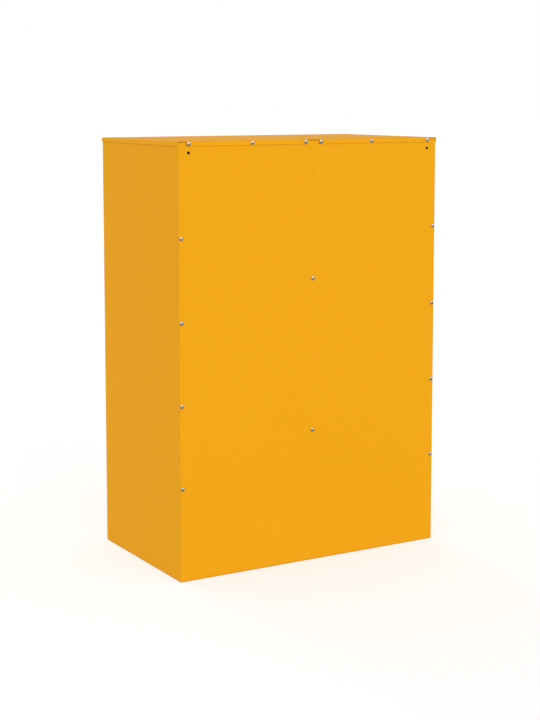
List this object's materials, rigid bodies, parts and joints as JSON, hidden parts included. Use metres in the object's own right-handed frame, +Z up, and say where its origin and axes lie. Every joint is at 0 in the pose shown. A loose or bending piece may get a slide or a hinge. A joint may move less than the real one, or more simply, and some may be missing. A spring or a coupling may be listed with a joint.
{
  "type": "letterbox cabinet",
  "caption": "Free-standing powder-coated sheet-steel mailbox cabinet with rows of lockable letterboxes, each with a hinged door, letter flap, cam lock and card holder.",
  "frame": {"origin": "middle of the footprint, at floor level", "axes": "+Z up, -Y towards the front with the doors, +Y towards the wall"},
  "size_m": [0.67, 0.3911, 0.95],
  "materials": {
    "powder_coat": "mustard-yellow powder coat, satin, very fine orange peel",
    "bright_screws": "nickel-plated steel, bright",
    "zinc_steel": "zinc-plated steel",
    "lock_nickel": "nickel-plated die casting",
    "holder_aluminium": "satin anodised aluminium with a blank white card",
    "nylon": "natural nylon"
  },
  "bodies": {
    "cabinet": {"left_side_panel": "powder_coat", "right_side_panel": "powder_coat", "back_panel": "powder_coat", "lid": "powder_coat", "bottom_panel": "powder_coat", "top_rail": "powder_coat", "centre_stile": "powder_coat", "centre_divider": "powder_coat", "lower_left_shelf": "powder_coat", "lower_right_shelf": "powder_coat", "upper_left_shelf": "powder_coat", "upper_right_shelf": "powder_coat", "back_screws": "bright_screws", "lid_screws": "bright_screws", "clinch_nuts": "zinc_steel", "panel_rivets": "zinc_steel", "hinge_pins": "zinc_steel", "hinge_washers": "nylon"},
    "bottom_left_door_body": {"bottom_left_door": "powder_coat", "bottom_left_lock_housing": "lock_nickel", "bottom_left_flap_pin": "zinc_steel", "bottom_left_card_holder": "holder_aluminium"},
    "bottom_left_flap_body": {"bottom_left_flap": "powder_coat"},
    "bottom_left_lock_body": {"bottom_left_lock_plug": "lock_nickel", "bottom_left_lock_cam": "zinc_steel"},
    "bottom_right_door_body": {"bottom_right_door": "powder_coat", "bottom_right_lock_housing": "lock_nickel", "bottom_right_flap_pin": "zinc_steel", "bottom_right_card_holder": "holder_aluminium"},
    "bottom_right_flap_body": {"bottom_right_flap": "powder_coat"},
    "bottom_right_lock_body": {"bottom_right_lock_plug": "lock_nickel", "bottom_right_lock_cam": "zinc_steel"},
    "middle_left_door_body": {"middle_left_door": "powder_coat", "middle_left_lock_housing": "lock_nickel", "middle_left_flap_pin": "zinc_steel", "middle_left_card_holder": "holder_aluminium"},
    "middle_left_flap_body": {"middle_left_flap": "powder_coat"},
    "middle_left_lock_body": {"middle_left_lock_plug": "lock_nickel", "middle_left_lock_cam": "zinc_steel"},
    "middle_right_door_body": {"middle_right_door": "powder_coat", "middle_right_lock_housing": "lock_nickel", "middle_right_flap_pin": "zinc_steel", "middle_right_card_holder": "holder_aluminium"},
    "middle_right_flap_body": {"middle_right_flap": "powder_coat"},
    "middle_right_lock_body": {"middle_right_lock_plug": "lock_nickel", "middle_right_lock_cam": "zinc_steel"},
    "top_left_door_body": {"top_left_door": "powder_coat", "top_left_lock_housing": "lock_nickel", "top_left_flap_pin": "zinc_steel", "top_left_card_holder": "holder_aluminium"},
    "top_left_flap_body": {"top_left_flap": "powder_coat"},
    "top_left_lock_body": {"top_left_lock_plug": "lock_nickel", "top_left_lock_cam": "zinc_steel"},
    "top_right_door_body": {"top_right_door": "powder_coat", "top_right_lock_housing": "lock_nickel", "top_right_flap_pin": "zinc_steel", "top_right_card_holder": "holder_aluminium"},
    "top_right_flap_body": {"top_right_flap": "powder_coat"},
    "top_right_lock_body": {"top_right_lock_plug": "lock_nickel", "top_right_lock_cam": "zinc_steel"}
  },
  "joints": [
    {"name": "bottom_left_door_hinge", "type": "hinge", "parent": "cabinet", "child": "bottom_left_door_body", "pos_m": [-0.3057, -0.1862, 0.16417], "axis": [0, 0, -1], "range_deg": [0, 105]},
    {"name": "bottom_left_flap_hinge", "type": "hinge", "parent": "bottom_left_door_body", "child": "bottom_left_flap_body", "pos_m": [-0.16185, -0.19365, 0.26033], "axis": [-1, 0, 0], "range_deg": [0, 80]},
    {"name": "bottom_left_lock_turn", "type": "hinge", "parent": "bottom_left_door_body", "child": "bottom_left_lock_body", "pos_m": [-0.038, -0.1907, 0.16417], "axis": [0, -1, 0], "range_deg": [0, 90]},
    {"name": "bottom_right_door_hinge", "type": "hinge", "parent": "cabinet", "child": "bottom_right_door_body", "pos_m": [0.3057, -0.1862, 0.16417], "axis": [0, 0, 1], "range_deg": [0, 105]},
    {"name": "bottom_right_flap_hinge", "type": "hinge", "parent": "bottom_right_door_body", "child": "bottom_right_flap_body", "pos_m": [0.16185, -0.19365, 0.26033], "axis": [-1, 0, 0], "range_deg": [0, 80]},
    {"name": "bottom_right_lock_turn", "type": "hinge", "parent": "bottom_right_door_body", "child": "bottom_right_lock_body", "pos_m": [0.038, -0.1907, 0.16417], "axis": [0, 1, 0], "range_deg": [0, 90]},
    {"name": "middle_left_door_hinge", "type": "hinge", "parent": "cabinet", "child": "middle_left_door_body", "pos_m": [-0.3057, -0.1862, 0.4725], "axis": [0, 0, -1], "range_deg": [0, 105]},
    {"name": "middle_left_flap_hinge", "type": "hinge", "parent": "middle_left_door_body", "child": "middle_left_flap_body", "pos_m": [-0.16185, -0.19365, 0.56867], "axis": [-1, 0, 0], "range_deg": [0, 80]},
    {"name": "middle_left_lock_turn", "type": "hinge", "parent": "middle_left_door_body", "child": "middle_left_lock_body", "pos_m": [-0.038, -0.1907, 0.4725], "axis": [0, -1, 0], "range_deg": [0, 90]},
    {"name": "middle_right_door_hinge", "type": "hinge", "parent": "cabinet", "child": "middle_right_door_body", "pos_m": [0.3057, -0.1862, 0.4725], "axis": [0, 0, 1], "range_deg": [0, 105]},
    {"name": "middle_right_flap_hinge", "type": "hinge", "parent": "middle_right_door_body", "child": "middle_right_flap_body", "pos_m": [0.16185, -0.19365, 0.56867], "axis": [-1, 0, 0], "range_deg": [0, 80]},
    {"name": "middle_right_lock_turn", "type": "hinge", "parent": "middle_right_door_body", "child": "middle_right_lock_body", "pos_m": [0.038, -0.1907, 0.4725], "axis": [0, 1, 0], "range_deg": [0, 90]},
    {"name": "top_left_door_hinge", "type": "hinge", "parent": "cabinet", "child": "top_left_door_body", "pos_m": [-0.3057, -0.1862, 0.78083], "axis": [0, 0, -1], "range_deg": [0, 105]},
    {"name": "top_left_flap_hinge", "type": "hinge", "parent": "top_left_door_body", "child": "top_left_flap_body", "pos_m": [-0.16185, -0.19365, 0.877], "axis": [-1, 0, 0], "range_deg": [0, 80]},
    {"name": "top_left_lock_turn", "type": "hinge", "parent": "top_left_door_body", "child": "top_left_lock_body", "pos_m": [-0.038, -0.1907, 0.78083], "axis": [0, -1, 0], "range_deg": [0, 90]},
    {"name": "top_right_door_hinge", "type": "hinge", "parent": "cabinet", "child": "top_right_door_body", "pos_m": [0.3057, -0.1862, 0.78083], "axis": [0, 0, 1], "range_deg": [0, 105]},
    {"name": "top_right_flap_hinge", "type": "hinge", "parent": "top_right_door_body", "child": "top_right_flap_body", "pos_m": [0.16185, -0.19365, 0.877], "axis": [-1, 0, 0], "range_deg": [0, 80]},
    {"name": "top_right_lock_turn", "type": "hinge", "parent": "top_right_door_body", "child": "top_right_lock_body", "pos_m": [0.038, -0.1907, 0.78083], "axis": [0, 1, 0], "range_deg": [0, 90]}
  ]
}
